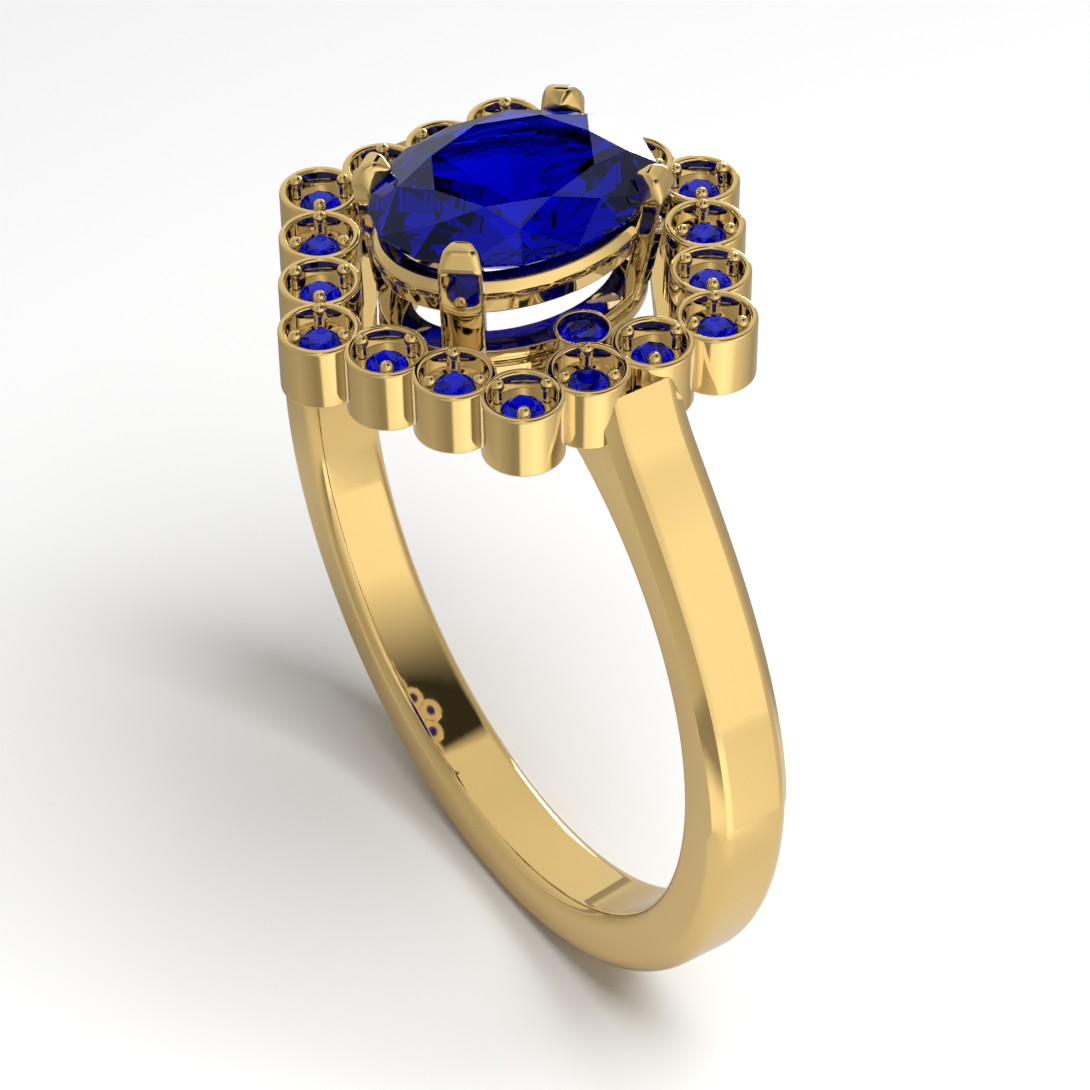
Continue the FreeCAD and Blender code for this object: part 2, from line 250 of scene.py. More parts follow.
def outer_edge(shoulder_share):
    """Outer edge of the section as (depth, y) from the side to the flat: soft below, cove and bevel above."""
    points = []
    for k in range(EDGE_STEPS):
        t = k / (EDGE_STEPS - 1)
        angle = t * math.pi / 2
        soft = Vector((SOFT_EDGE_R * (1 - math.sin(angle)), HALF_WIDTH - SOFT_EDGE_R * (1 - math.cos(angle))))
        if t <= COVE_SHARE:
            part = t / COVE_SHARE
            hollow = COVE_HOLLOW * math.sin(part * math.pi)
            crisp = Vector((COVE_DEPTH + (BEVEL_DEPTH - COVE_DEPTH) * part + hollow * 0.85,
                            HALF_WIDTH + (BEVEL_Y - HALF_WIDTH) * part - hollow * 0.5))
        else:
            part = (t - COVE_SHARE) / (1 - COVE_SHARE)
            crown = BEVEL_CROWN * math.sin(part * math.pi)
            crisp = Vector((BEVEL_DEPTH * (1 - part) - crown,
                            BEVEL_Y + (FLAT_Y - BEVEL_Y) * part + crown * 0.5))
        points.append(soft.lerp(crisp, shoulder_share))
    return points


def band_section(outer, inner, downward, shoulder_share):
    """Closed loop of (x, y, z) points: bore, eased edge, side, outer edge, and back on the other side."""
    towards_bore = inner.normalized()
    half = [Vector((inner.x, 0.0, inner.y))]
    for k in range(COMFORT_STEPS + 1):
        angle = k / COMFORT_STEPS * math.pi / 2
        lift = COMFORT_R * (1 - math.cos(angle))
        spot = inner + towards_bore * lift
        half.append(Vector((spot.x, HALF_WIDTH - COMFORT_R * (1 - math.sin(angle)), spot.y)))
    for depth, y in outer_edge(shoulder_share):
        spot = outer + downward * depth
        half.append(Vector((spot.x, y, spot.y)))
    half.append(Vector((outer.x, 0.0, outer.y)))
    mirrored = [Vector((p.x, -p.y, p.z)) for p in reversed(half[1:-1])]
    return half + mirrored


def band_sections():
    """Sections from the bottom of the band up one side to the top of its shoulder."""
    sections = []
    for i in range(LOWER_STEPS):
        angle = -math.pi / 2 + math.pi / 2 * i / LOWER_STEPS
        direction = Vector((math.cos(angle), math.sin(angle)))
        share = shoulder_share_at(direction.y * BAND_R)
        sections.append(band_section(direction * BAND_R, direction * BORE_R, -direction, share))
    line = smooth_line(SHOULDER_LINE, SHOULDER_STEPS)
    back = (SHOULDER_BACK - SHOULDER_TOP).normalized()
    reach = SHOULDER_TOP.dot(back)
    to_bore = -reach - math.sqrt(reach ** 2 - SHOULDER_TOP.length_squared + BORE_R ** 2)
    inner_top = SHOULDER_TOP + back * to_bore
    inner_angle = math.atan2(inner_top.y, inner_top.x)
    for i, outer in enumerate(line):
        along = i / (len(line) - 1)
        after, before = line[min(i + 1, len(line) - 1)], line[max(i - 1, 0)]
        tangent = (after - before).normalized() if i else Vector((0.0, 1.0))
        normal = Vector((tangent.y, -tangent.x))
        inner = Vector((math.cos(inner_angle * along), math.sin(inner_angle * along))) * BORE_R
        downward = (inner - outer).normalized()
        downward /= max(-downward.dot(normal), 0.3)
        sections.append(band_section(outer, inner, downward, shoulder_share_at(outer.y)))
    return sections


def shoulder_share_at(z):
    """0 where the edges are the soft ones of the lower band, 1 where they are crisp."""
    t = min(max((z - CRISP_FROM_Z) / CRISP_WITHIN, 0.0), 1.0)
    return t * t * (3 - 2 * t)


def prism(outline, low, high, axis="Y"):
    """A closed prism: the outline is (x, z) swept along Y, or (x, y) swept along Z."""
    bm = bmesh.new()
    ends = []
    for level in (low, high):
        if axis == "Y":
            ends.append([bm.verts.new((p[0], level, p[1])) for p in outline])
        else:
            ends.append([bm.verts.new((p[0], p[1], level)) for p in outline])
    count = len(outline)
    for i in range(count):
        j = (i + 1) % count
        bm.faces.new((ends[0][i], ends[0][j], ends[1][j], ends[1][i]))
    bm.faces.new(ends[0])
    bm.faces.new(ends[1])
    return bm


def oval_outline(a, b, x, y, count):
    return [(x + a * math.cos(2 * math.pi * i / count), y + b * math.sin(2 * math.pi * i / count))
            for i in range(count)]


sections = band_sections()
bm = bmesh.new()
mirror = [[Vector((-p.x, p.y, p.z)) for p in section] for section in reversed(sections[1:])]
loops = [[bm.verts.new(p) for p in section] for section in mirror + sections]
for first, second in zip(loops, loops[1:]):
    for i in range(len(first)):
        j = (i + 1) % len(first)
        bm.faces.new((first[i], first[j], second[j], second[i]))
bm.faces.new(loops[0])
bm.faces.new(loops[-1])
band = piece_from("band_and_shoulders", bm, polished_gold)

# The inner ends of the shoulders pass under the halo to the lower gallery ring.
for side in (1, -1):
    bore = [(BORE_R * math.cos(math.radians(a)), BORE_R * math.sin(math.radians(a)))
            for a in range(64, 76, 2)]
    bore.append((BRIDGE_END_X, math.sqrt(BORE_R ** 2 - BRIDGE_END_X ** 2)))
    outline = bore + [(BRIDGE_END_X, BRIDGE_Z), (BRIDGE_START_X, BRIDGE_Z), BRIDGE_CORNER]
    reach = HALF_WIDTH - BRIDGE_INSET
    bridge = prism([(side * x, z) for x, z in outline], -reach, reach)
    cut_or_join(band, piece_from("bridge", bridge, polished_gold), "UNION")

# The shoulders are cut to fit the halo's nearest cups and the lower gallery ring.
HALO_PITCH, CUPS_PER_SIDE = 1.72, 3
CUP_R, RIM_Z, CUP_HEIGHT = 0.955, 10.26, 1.6
LOWER_RING_A, LOWER_RING_B, LOWER_RING_BOTTOM = 2.49, 3.35, 8.72
CUT_TOP_Z = 12
bm = bmesh.new()
for side in (1, -1):
    for step in (-1.5, -0.5, 0.5, 1.5):
        x = side * CUPS_PER_SIDE * HALO_PITCH * math.cos(math.radians(30))
        cup_space = prism(oval_outline(CUP_R, CUP_R, x, step * HALO_PITCH, 96), RIM_Z - CUP_HEIGHT,
                          CUT_TOP_Z, "Z")
        spare = bpy.data.meshes.new("cup_space")
        cup_space.to_mesh(spare)
        cup_space.free()
        bm.from_mesh(spare)
        bpy.data.meshes.remove(spare)
cut_or_join(band, piece_from("cup_spaces", bm, polished_gold), "DIFFERENCE")
oval_space = prism(oval_outline(LOWER_RING_A, LOWER_RING_B, 0, 0, 128), LOWER_RING_BOTTOM, CUT_TOP_Z, "Z")
cut_or_join(band, piece_from("oval_space", oval_space, polished_gold), "DIFFERENCE")
band.data.set_sharp_from_angle(angle=math.radians(SHARP_DEGREES))
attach(band, "root")
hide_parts("shank")

# =====================================================================================================
# Halo cups.
# Eighteen short gold tubes with rounded lips, soldered side by side round a hexagon. Three little posts
# with beads stand inside each tube and hold its stone on a ledge below the rim.
# =====================================================================================================
CUP_BORE_R, SEAT_DEPTH, SEAT_HOLE_R, HALO_STONE_R = 0.76, 0.45, 0.40, 0.475
BEAD_R, BEAD_CIRCLE_R = 0.16, 0.63
POST_R, POST_HEIGHT = 0.10, 0.43


def soften(corners, radius, steps=4):
    """Round every corner of a closed outline; a corner may carry its own radius as a last number."""
    rounded = []
    count = len(corners)
    for i in range(count):
        here = Vector(corners[i][:2])
        own = corners[i][2] if len(corners[i]) > 2 else radius
        to_last = Vector(corners[i - 1][:2]) - here
        to_next = Vector(corners[(i + 1) % count][:2]) - here
        cut = min(own, to_last.length * 0.49, to_next.length * 0.49)
        start, end = here + to_last.normalized() * cut, here + to_next.normalized() * cut
        for k in range(steps + 1):
            t = k / steps
            rounded.append((1 - t) ** 2 * start + 2 * t * (1 - t) * here + t * t * end)
    return rounded


def oval_sweep_tree():
    """Geometry Nodes: carries a closed outline round an oval path of the given half axes."""
    tree = bpy.data.node_groups.new("Oval sweep", "GeometryNodeTree")
    tree.is_modifier = True
    tree.interface.new_socket("Geometry", in_out="INPUT", socket_type="NodeSocketGeometry")
    for name, default in (("Half width", 1.0), ("Half length", 1.0)):
        socket = tree.interface.new_socket(name, in_out="INPUT", socket_type="NodeSocketFloat")
        socket.default_value = default
    steps = tree.interface.new_socket("Steps", in_out="INPUT", socket_type="NodeSocketInt")
    steps.default_value = 64
    tree.interface.new_socket("Material", in_out="INPUT", socket_type="NodeSocketMaterial")
    tree.interface.new_socket("Geometry", in_out="OUTPUT", socket_type="NodeSocketGeometry")
    nodes, links = tree.nodes, tree.links
    inputs, outputs = nodes.new("NodeGroupInput"), nodes.new("NodeGroupOutput")
    circle = nodes.new("GeometryNodeCurvePrimitiveCircle")
    circle.inputs["Radius"].default_value = 1.0
    axes = nodes.new("ShaderNodeCombineXYZ")
    axes.inputs["Z"].default_value = 1.0
    stretch = nodes.new("GeometryNodeTransform")
    upright = nodes.new("GeometryNodeSetCurveNormal")
    upright.mode = "Z_UP"
    outline = nodes.new("GeometryNodeMeshToCurve")
    sweep = nodes.new("GeometryNodeCurveToMesh")
    realize = nodes.new("GeometryNodeRealizeInstances")
    finish = nodes.new("GeometryNodeSetMaterial")
    links.new(inputs.outputs["Steps"], circle.inputs["Resolution"])
    links.new(inputs.outputs["Half width"], axes.inputs["X"])
    links.new(inputs.outputs["Half length"], axes.inputs["Y"])
    links.new(circle.outputs["Curve"], stretch.inputs["Geometry"])
    links.new(axes.outputs["Vector"], stretch.inputs["Scale"])
    links.new(stretch.outputs["Geometry"], upright.inputs["Curve"])
    links.new(inputs.outputs["Geometry"], outline.inputs["Mesh"])
    links.new(upright.outputs["Curve"], sweep.inputs["Curve"])
    links.new(outline.outputs["Curve"], sweep.inputs["Profile Curve"])
    links.new(sweep.outputs["Mesh"], realize.inputs["Geometry"])
    links.new(realize.outputs["Geometry"], finish.inputs["Geometry"])
    links.new(inputs.outputs["Material"], finish.inputs["Material"])
    links.new(finish.outputs["Geometry"], outputs.inputs["Geometry"])
    return tree


oval_sweep = oval_sweep_tree()


def set_input(modifier, name, value):
    """Set a Geometry Nodes input by its socket identifier."""
    for item in modifier.node_group.interface.items_tree:
        if item.item_type == "SOCKET" and item.in_out == "INPUT" and item.name == name:
            modifier[item.identifier] = value


def swept_ring(name, outline, half_width, half_length, centre, material, steps=96):
    """A closed ring: the outline gives (distance outward from the path, height)."""
    bm = bmesh.new()
    corners = [bm.verts.new((out * MM, -height * MM, 0.0)) for out, height in outline]
    for i in range(len(corners)):
        bm.edges.new((corners[i], corners[(i + 1) % len(corners)]))
    mesh = bpy.data.meshes.new(name)
    bm.to_mesh(mesh)
    bm.free()
    mesh.materials.append(material)
    ring = bpy.data.objects.new(name, mesh)
    bpy.context.scene.collection.objects.link(ring)
    modifier = ring.modifiers.new("Oval sweep", "NODES")
    modifier.node_group = oval_sweep
    set_input(modifier, "Half width", half_width * MM)
    set_input(modifier, "Half length", half_length * MM)
    set_input(modifier, "Steps", steps)
    set_input(modifier, "Material", material)
    settle(ring)
    ring.data.transform(Matrix.Translation(Vector(centre) * MM))
    tidy_ring = bmesh.new()
    tidy_ring.from_mesh(ring.data)
    bmesh.ops.remove_doubles(tidy_ring, verts=tidy_ring.verts, dist=1e-8)
    bmesh.ops.recalc_face_normals(tidy_ring, faces=tidy_ring.faces)
    tidy_ring.to_mesh(ring.data)
    tidy_ring.free()
    for polygon in ring.data.polygons:
        polygon.use_smooth = True
    ring.data.set_sharp_from_angle(angle=math.radians(40))
    return ring


def halo_layout_tree(name, with_beads):
    """Geometry Nodes: sets the incoming part on every station of the halo, with its beads if wanted."""
    tree = bpy.data.node_groups.new(name, "GeometryNodeTree")
    tree.is_modifier = True
    tree.interface.new_socket("Geometry", in_out="INPUT", socket_type="NodeSocketGeometry")
    for label, default in (("Pitch", 1.72), ("Height", 10.0), ("Bead radius", 0.15), ("Bead circle", 0.63),
                           ("Post radius", 0.1), ("Post height", 0.4)):
        socket = tree.interface.new_socket(label, in_out="INPUT", socket_type="NodeSocketFloat")
        socket.default_value = default * MM
    per_side = tree.interface.new_socket("Cups per side", in_out="INPUT", socket_type="NodeSocketInt")
    per_side.default_value = 3
    tree.interface.new_socket("Material", in_out="INPUT", socket_type="NodeSocketMaterial")
    tree.interface.new_socket("Geometry", in_out="OUTPUT", socket_type="NodeSocketGeometry")
    nodes, links = tree.nodes, tree.links
    inputs, outputs = nodes.new("NodeGroupInput"), nodes.new("NodeGroupOutput")

    def maths(operation, first, second):
        node = nodes.new("ShaderNodeMath")
        node.operation = operation
        for slot_number, value in enumerate((first, second)):
            if isinstance(value, (int, float)):
                node.inputs[slot_number].default_value = value
            else:
                links.new(value, node.inputs[slot_number])
        return node.outputs["Value"]

    # Six corners, the first on -Y, joined by straight sides and divided evenly.
    hexagon = nodes.new("GeometryNodeMeshCircle")
    hexagon.inputs["Vertices"].default_value = 6
    corner_r = maths("MULTIPLY", inputs.outputs["Pitch"], inputs.outputs["Cups per side"])
    links.new(corner_r, hexagon.inputs["Radius"])
    turn = nodes.new("GeometryNodeTransform")
    turn.inputs["Rotation"].default_value = Euler((0.0, 0.0, -math.pi / 2))
    lift = nodes.new("ShaderNodeCombineXYZ")
    links.new(inputs.outputs["Height"], lift.inputs["Z"])
    links.new(lift.outputs["Vector"], turn.inputs["Translation"])
    links.new(hexagon.outputs["Mesh"], turn.inputs["Geometry"])
    side_line = nodes.new("GeometryNodeMeshToCurve")
    links.new(turn.outputs["Geometry"], side_line.inputs["Mesh"])
    stations = nodes.new("GeometryNodeCurveToPoints")
    stations.mode = "COUNT"
    links.new(side_line.outputs["Curve"], stations.inputs["Curve"])
    links.new(maths("MULTIPLY", inputs.outputs["Cups per side"], 6), stations.inputs["Count"])

    # Every other station is turned by a sixth of a turn.
    index = nodes.new("GeometryNodeInputIndex")
    parity = maths("MODULO", index.outputs["Index"], 2)
    spin = nodes.new("ShaderNodeCombineXYZ")
    links.new(maths("ADD", maths("MULTIPLY", parity, math.pi / 3), math.pi / 6), spin.inputs["Z"])
    part = nodes.new("GeometryNodeInstanceOnPoints")
    links.new(stations.outputs["Points"], part.inputs["Points"])
    links.new(spin.outputs["Vector"], part.inputs["Rotation"])
    group = nodes.new("GeometryNodeJoinGeometry")
    links.new(inputs.outputs["Geometry"], group.inputs["Geometry"])
    if with_beads:
        triangle = nodes.new("GeometryNodeMeshCircle")
        triangle.inputs["Vertices"].default_value = 3
        links.new(inputs.outputs["Bead circle"], triangle.inputs["Radius"])
        bead = nodes.new("GeometryNodeMeshUVSphere")
        bead.inputs["Segments"].default_value = 24
        bead.inputs["Rings"].default_value = 14
        links.new(inputs.outputs["Bead radius"], bead.inputs["Radius"])
        post = nodes.new("GeometryNodeMeshCylinder")
        post.inputs["Vertices"].default_value = 20
        links.new(inputs.outputs["Post radius"], post.inputs["Radius"])
        links.new(inputs.outputs["Post height"], post.inputs["Depth"])
        drop = nodes.new("ShaderNodeCombineXYZ")
        links.new(maths("MULTIPLY", inputs.outputs["Post height"], -0.5), drop.inputs["Z"])
        lowered = nodes.new("GeometryNodeTransform")
        links.new(post.outputs["Mesh"], lowered.inputs["Geometry"])
        links.new(drop.outputs["Vector"], lowered.inputs["Translation"])
        round_bead = nodes.new("GeometryNodeSetShadeSmooth")
        links.new(bead.outputs["Mesh"], round_bead.inputs["Geometry"])
        prong = nodes.new("GeometryNodeJoinGeometry")
        links.new(round_bead.outputs["Geometry"], prong.inputs["Geometry"])
        links.new(lowered.outputs["Geometry"], prong.inputs["Geometry"])
        prongs = nodes.new("GeometryNodeInstanceOnPoints")
        links.new(triangle.outputs["Mesh"], prongs.inputs["Points"])
        links.new(prong.outputs["Geometry"], prongs.inputs["Instance"])
        links.new(prongs.outputs["Instances"], group.inputs["Geometry"])
    links.new(group.outputs["Geometry"], part.inputs["Instance"])
    realize = nodes.new("GeometryNodeRealizeInstances")
    finish = nodes.new("GeometryNodeSetMaterial")
    links.new(part.outputs["Instances"], realize.inputs["Geometry"])
    links.new(realize.outputs["Geometry"], finish.inputs["Geometry"])
    links.new(inputs.outputs["Material"], finish.inputs["Material"])
    links.new(finish.outputs["Geometry"], outputs.inputs["Geometry"])
    return tree


def set_round_halo(piece, tree, height, material):
    """Repeat a piece made on the Z axis at every station of the halo."""
    modifier = piece.modifiers.new(tree.name, "NODES")
    modifier.node_group = tree
    set_input(modifier, "Pitch", HALO_PITCH * MM)
    set_input(modifier, "Height", height * MM)
    set_input(modifier, "Cups per side", CUPS_PER_SIDE)
    set_input(modifier, "Bead radius", BEAD_R * MM)
    set_input(modifier, "Bead circle", BEAD_CIRCLE_R * MM)
    set_input(modifier, "Post radius", POST_R * MM)
    set_input(modifier, "Post height", POST_HEIGHT * MM)
    set_input(modifier, "Material", material)
    return settle(piece)


lip = (CUP_R - CUP_BORE_R) / 2
cup_outline = soften([(CUP_R, -CUP_HEIGHT, 0.05), (CUP_R, 0.0, lip), (CUP_BORE_R, 0.0, lip),
                      (CUP_BORE_R, -SEAT_DEPTH, 0.02), (HALO_STONE_R, -SEAT_DEPTH, 0.02),
                      (SEAT_HOLE_R, -SEAT_DEPTH - 0.5, 0.02), (SEAT_HOLE_R, -CUP_HEIGHT, 0.02)], 0.05, 6)
cup = swept_ring("halo_cups", [(r - CUP_R, z) for r, z in cup_outline], CUP_R, CUP_R, (0, 0, 0),
                 polished_gold, 72)
set_round_halo(cup, halo_layout_tree("Halo cups", True), RIM_Z, polished_gold)
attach(cup, "root")
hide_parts(*["halo_cup_%02d" % n for n in range(1, 19)])

# =====================================================================================================
# Halo stones.
# Small round blue sapphires in the full brilliant cut. Each lies on the ledge of its cup, held by the
# three beads.
# =====================================================================================================
BLUE_TINT = (0.22, 0.28, 0.95)
SHEEN_TINT = (0.35, 0.42, 1.0, 1.0)    # the surface mirrors bluish, and white only at a glance
TABLE_SHARE, STAR_SHARE = 0.59, 0.79   # the table's corners and the stars' tips, as shares of the width
HALVES_SHARE = 0.22                    # where the lower halves end, counted out from the culet
GIRDLE_SHARE = 0.03
CROWN_SHARE, PAVILION_SHARE = 0.32, 0.86   # heights of a small stone, as shares of its radius
STONE_LIFT = 0.04                      # its girdle lies this far above the ledge


def sapphire(name, density, blue):
    """Blue sapphire: clear corundum whose colour comes from absorption along the light's way through it."""
    material = bpy.data.materials.new(name)
    material.use_nodes = True
    nodes, links = material.node_tree.nodes, material.node_tree.links
    shader = nodes["Principled BSDF"]
    shader.inputs["IOR"].default_value = 1.77
    shader.inputs["Transmission Weight"].default_value = 1.0
    shader.inputs["Specular Tint"].default_value = SHEEN_TINT
    shader.inputs["Metallic"].default_value = 0.0
    coords = nodes.new("ShaderNodeTexCoord")
    silk = nodes.new("ShaderNodeTexNoise")
    silk.inputs["Scale"].default_value = 700.0
    silk.inputs["Detail"].default_value = 2.0
    colour = nodes.new("ShaderNodeValToRGB")
    colour.color_ramp.elements[0].position = 0.35
    colour.color_ramp.elements[0].color = (BLUE_TINT[0] * 0.7, BLUE_TINT[1] * 0.75, BLUE_TINT[2] * 0.92, 1.0)
    colour.color_ramp.elements[1].position = 0.7
    colour.color_ramp.elements[1].color = (*BLUE_TINT, 1.0)
    polish = nodes.new("ShaderNodeMapRange")
    polish.inputs["To Min"].default_value = 0.0
    polish.inputs["To Max"].default_value = 0.012
    links.new(coords.outputs["Object"], silk.inputs["Vector"])
    links.new(silk.outputs["Fac"], colour.inputs["Fac"])
    links.new(silk.outputs["Fac"], polish.inputs["Value"])
    links.new(colour.outputs["Color"], shader.inputs["Base Color"])
    links.new(polish.outputs["Result"], shader.inputs["Roughness"])
    depth = nodes.new("ShaderNodeVolumeAbsorption")
    depth.inputs["Color"].default_value = (0.0, 0.12, blue, 1.0)
    depth.inputs["Density"].default_value = density
    links.new(depth.outputs["Volume"], nodes["Material Output"].inputs["Volume"])
    return material


small_sapphire = sapphire("small sapphires", 11000.0, 0.97)


def brilliant_cut(name, half_width, half_length, crown, pavilion, material):
    """A brilliant with its girdle at height 0: table, stars, kites, halves, girdle, pavilion."""
    bm = bmesh.new()

    def ring(count, start, share, z):
        step = 2 * math.pi / count
        return [bm.verts.new((half_width * share * math.cos(step * (i + start)),
                              half_length * share * math.sin(step * (i + start)), z)) for i in range(count)]

    # The kites are flat, which sets how high the tips of the star facets lie.
    tilt = math.cos(math.pi / 8)
    star_z = crown * (1 - STAR_SHARE * tilt) / (1 - TABLE_SHARE)
    foot = -GIRDLE_SHARE * half_width
    tops = ring(8, 0, TABLE_SHARE, crown)
    stars = ring(8, 0.5, STAR_SHARE, star_z)
    upper = ring(16, 0, 1.0, 0.0)
    lower = ring(16, 0, 1.0, foot)
    halves = ring(8, 0.5, HALVES_SHARE, foot - pavilion * (1 - HALVES_SHARE * tilt))
    culet = bm.verts.new((0.0, 0.0, foot - pavilion))
    bm.faces.new(tops)
    for i in range(8):
        j = (i + 1) % 8
        bm.faces.new((tops[i], stars[i], tops[j]))
        bm.faces.new((tops[i], stars[i - 1], upper[2 * i], stars[i]))
        bm.faces.new((stars[i], upper[2 * i], upper[2 * i + 1]))
        bm.faces.new((stars[i], upper[2 * i + 1], upper[(2 * i + 2) % 16]))
        bm.faces.new((culet, halves[i - 1], lower[2 * i], halves[i]))
        bm.faces.new((halves[i], lower[2 * i], lower[2 * i + 1]))
        bm.faces.new((halves[i], lower[2 * i + 1], lower[(2 * i + 2) % 16]))
    for i in range(16):
        j = (i + 1) % 16
        bm.faces.new((upper[i], lower[i], lower[j], upper[j]))
    stone = piece_from(name, bm, material)
    for polygon in stone.data.polygons:
        polygon.use_smooth = False
    return stone


halo_stone = brilliant_cut("halo_sapphires", HALO_STONE_R, HALO_STONE_R, HALO_STONE_R * CROWN_SHARE,
                           HALO_STONE_R * PAVILION_SHARE, small_sapphire)
set_round_halo(halo_stone, halo_layout_tree("Halo stones", False), RIM_Z - SEAT_DEPTH + STONE_LIFT,
               small_sapphire)
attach(halo_stone, "root")
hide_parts(*["halo_stone_%02d" % n for n in range(1, 19)])

# =====================================================================================================
# Halo rails.
# Four flat gold strips under the cups' inner sides tie the halo to the shoulders and the gallery.
# =====================================================================================================
for number in range(1, 5):
    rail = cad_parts["halo_rail_%d" % number]
    rail.data.materials.clear()
    rail.data.materials.append(polished_gold)

# =====================================================================================================
# Lower gallery ring.
# An oval gold band at the foot of the claws, with one fine groove turned round its side.
# =====================================================================================================
LOWER_RING_TOP = 9.52
lower_outline = soften([(0.0, LOWER_RING_BOTTOM, 0.06), (0.0, 9.06, 0.02), (-0.12, 9.09, 0.02),
                        (-0.12, 9.24, 0.02), (0.0, 9.28, 0.03), (0.0, LOWER_RING_TOP, 0.05),
                        (-0.78, LOWER_RING_TOP, 0.05),
                        (-0.78, LOWER_RING_BOTTOM, 0.05)], 0.04)
lower_ring = swept_ring("lower_gallery", lower_outline, LOWER_RING_A, LOWER_RING_B, (0, 0, 0),
                        polished_gold, 144)
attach(lower_ring, "root")
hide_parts("lower_gallery_ring")

# =====================================================================================================
# Upper gallery ring.
# The oval seat ring just below the centre stone's girdle: a bright upper band over a waist.
# =====================================================================================================
UPPER_RING_A, UPPER_RING_B = 2.43, 3.37
upper_outline = soften([(-0.02, 11.50, 0.06), (-0.45, 11.46, 0.05), (-0.45, 10.53, 0.05),
                        (-0.07, 10.53, 0.08), (0.03, 10.99, 0.03), (0.12, 11.04, 0.10), (0.10, 11.30, 0.12)], 0.05)
upper_ring = swept_ring("upper_gallery", upper_outline, UPPER_RING_A, UPPER_RING_B, (0, 0, 0),
                        polished_gold, 144)
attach(upper_ring, "root")
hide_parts("upper_gallery_ring")

# =====================================================================================================
# Side bezels and their stones.
# A plain gold tube on each side of the head, rubbed over a small round sapphire.
# =====================================================================================================
SIDE_X, SIDE_R, SIDE_BORE_R, SIDE_STONE_R = 2.92, 0.67, 0.58, 0.56
SIDE_FOOT_Z, SIDE_TOP_Z, SIDE_GIRDLE_Z = 8.95, 9.98, 9.76
SIDE_LIGHT_R = 0.30                    # the hole under the stone
for number, side in ((1, 1), (2, -1)):
    bezel_outline = soften([(SIDE_R, SIDE_FOOT_Z, 0.03), (SIDE_R, SIDE_TOP_Z, 0.045),
                            (SIDE_BORE_R, SIDE_TOP_Z, 0.045), (SIDE_BORE_R, SIDE_TOP_Z - 0.26, 0.02),
                            (SIDE_STONE_R - 0.03, SIDE_TOP_Z - 0.28, 0.02),
                            (SIDE_LIGHT_R, SIDE_TOP_Z - 0.75, 0.02), (SIDE_LIGHT_R, SIDE_FOOT_Z, 0.03)], 0.04)
    bezel = swept_ring("side_bezel_%d_wall" % number, [(r - SIDE_R, z) for r, z in bezel_outline],
                       SIDE_R, SIDE_R, (side * SIDE_X, 0, 0), polished_gold, 72)
    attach(bezel, "root")
    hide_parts("side_bezel_%d" % number)
    side_stone = brilliant_cut("side_sapphire_%d" % number, SIDE_STONE_R, SIDE_STONE_R,
                               SIDE_STONE_R * CROWN_SHARE, SIDE_STONE_R * PAVILION_SHARE, small_sapphire)
    side_stone.data.transform(Matrix.Translation(Vector((side * SIDE_X, 0, SIDE_GIRDLE_Z)) * MM))
    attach(side_stone, "root")
    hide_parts("side_stone_%d" % number)

# =====================================================================================================
# Claws.
# Four flat gold claws rise from the lower gallery ring, leaning out, and bend over the girdle. Their tips
# are filed towards a point and polished round.
# =====================================================================================================
CLAW_ANGLE, CLAW_OFFSET, CLAW_HALF = math.radians(37.7), 0.85, 0.5
TIP_FOOT_Z, TIP_EDGE_Z = 12.1, 12.2      # where the leg ends, and the tip's lowest outer edge
TIP_ROUNDS = ((3.30, 0.34, 12.27, 0.15), (3.16, 0.24, 12.50, 0.19), (3.02, 0.13, 12.56, 0.19),
              (2.67, 0.0, 12.49, 0.07))      # the tip is the skin stretched over these (x, y, z, radius)
CLAW_SKIN, CLAW_POLISH = 0.033, 14       # mesh step and passes of smoothing that round the edges
LEG_FRONT = ((2.90, 9.25), (2.94, 9.42), (2.905, 9.49), (2.96, 9.58), (3.405, TIP_FOOT_Z))
LEG_BACK = ((2.45, 9.25), (2.48, 9.42), (2.49, 9.49), (2.51, 9.58), (2.94, TIP_FOOT_Z))


def claw_mesh():
    """One claw with its outward direction along X: a leaning leg and a filed tip."""
    bm = bmesh.new()
    for x, z in ((LEG_BACK[-1][0], TIP_FOOT_Z), (LEG_FRONT[-1][0], TIP_FOOT_Z), (3.43, TIP_EDGE_Z)):
        for y in (CLAW_HALF, -CLAW_HALF):
            bm.verts.new((x, y, z))
    for x, y, z, radius in TIP_ROUNDS:
        for side in (1, -1):
            bmesh.ops.create_icosphere(bm, subdivisions=3, radius=radius,
                                       matrix=Matrix.Translation((x, side * y, z)))
    bmesh.ops.convex_hull(bm, input=bm.verts)
    floor_faces = [f for f in bm.faces if all(abs(v.co.z - TIP_FOOT_Z) < 1e-5 for v in f.verts)]
    bmesh.ops.delete(bm, geom=floor_faces, context="FACES_ONLY")
    rows = []
    for front, back in zip(LEG_FRONT, LEG_BACK):
        rows.append([bm.verts.new((x, y, z)) for (x, z), y in ((back, CLAW_HALF), (front, CLAW_HALF),
                                                               (front, -CLAW_HALF), (back, -CLAW_HALF))])
    for low, high in zip(rows, rows[1:]):
        for i in range(4):
            j = (i + 1) % 4
            bm.faces.new((low[i], low[j], high[j], high[i]))
    bm.faces.new(rows[0])
    bmesh.ops.remove_doubles(bm, verts=bm.verts, dist=1e-4)
    bmesh.ops.dissolve_limit(bm, angle_limit=math.radians(2), verts=bm.verts, edges=bm.edges)
    return bm


